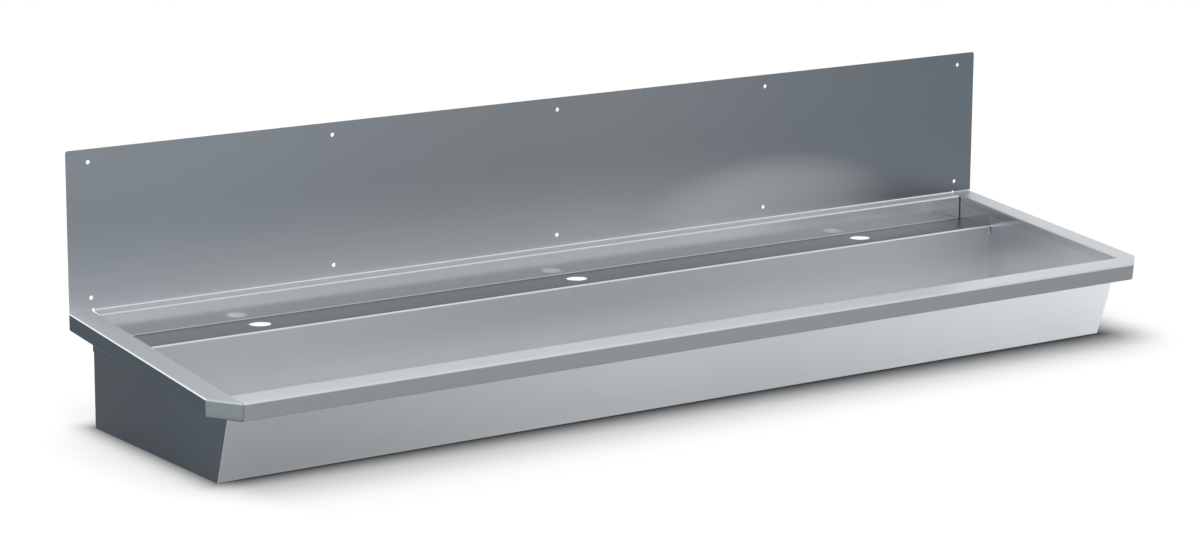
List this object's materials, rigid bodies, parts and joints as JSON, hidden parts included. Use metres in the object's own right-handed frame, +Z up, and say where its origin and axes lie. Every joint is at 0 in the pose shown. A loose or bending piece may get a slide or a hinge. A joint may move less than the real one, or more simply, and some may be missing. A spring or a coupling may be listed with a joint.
{
  "type": "trough sink",
  "caption": "Long wall-hung stainless trough sink with splashback, tap ledge, forward-sloping rim and leaning front wall.",
  "frame": {"origin": "under the middle of the trough, on the plane of its underside", "axes": "+X along the trough to its right end, +Y towards the wall it hangs on, +Z up"},
  "size_m": [1.8, 0.465, 0.435],
  "materials": {
    "satin_sheet": "satin-brushed stainless sheet, grain along the trough",
    "rim_sheet": "satin-brushed stainless sheet, ground at the corners",
    "end_sheet": "satin-brushed stainless sheet, grain towards the wall",
    "mill_sheet": "mill-finish stainless sheet",
    "sound_pad": "black sound-deadening pad"
  },
  "bodies": {
    "root": {"splashback": "satin_sheet", "bowl_pan": "satin_sheet", "front_rim": "rim_sheet", "left_rim": "rim_sheet", "right_rim": "rim_sheet", "left_end_wall": "end_sheet", "right_end_wall": "end_sheet", "left_gusset": "mill_sheet", "right_gusset": "mill_sheet", "left_sound_pad": "sound_pad", "centre_sound_pad": "sound_pad", "right_sound_pad": "sound_pad"}
  },
  "joints": []
}
